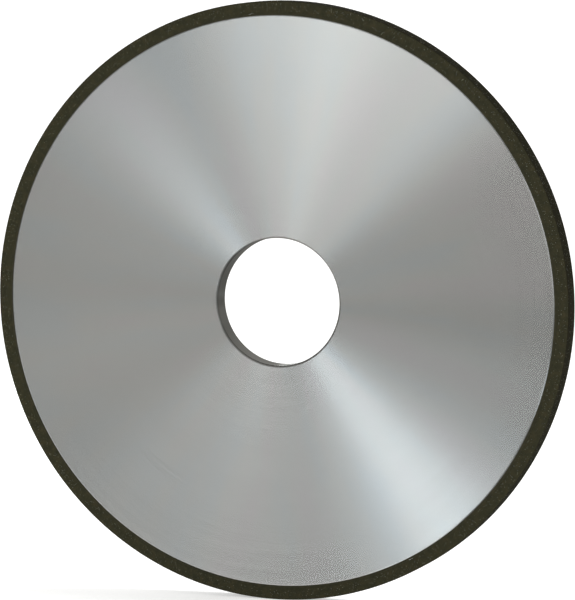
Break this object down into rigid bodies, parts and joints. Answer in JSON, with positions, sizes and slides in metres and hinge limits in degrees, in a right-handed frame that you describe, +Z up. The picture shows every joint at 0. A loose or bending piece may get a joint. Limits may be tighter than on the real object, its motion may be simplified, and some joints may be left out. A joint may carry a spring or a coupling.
{
  "type": "diamond grinding wheel",
  "caption": "Flat round grinding wheel: a turned aluminium disc with a plain arbor hole and a dark resin-bonded diamond ring moulded round its edge.",
  "frame": {"origin": "centre of the wheel: on its axis, halfway through its thickness", "axes": "Y is the wheel's axis, and the front face looks along -Y; +Z is up with the wheel standing upright, as on a level spindle; +X is to the right seen from the front"},
  "size_m": [0.15, 0.006, 0.15],
  "materials": {
    "aluminium_core": "finely turned in concentric marks, satin",
    "backing_resin": "hot-pressed resin, matt",
    "diamond_bond": "diamond grit in resin bond, matt and gritty"
  },
  "bodies": {
    "root": {"core": "aluminium_core", "backing_ring": "backing_resin", "diamond_rim": "diamond_bond"}
  },
  "joints": []
}
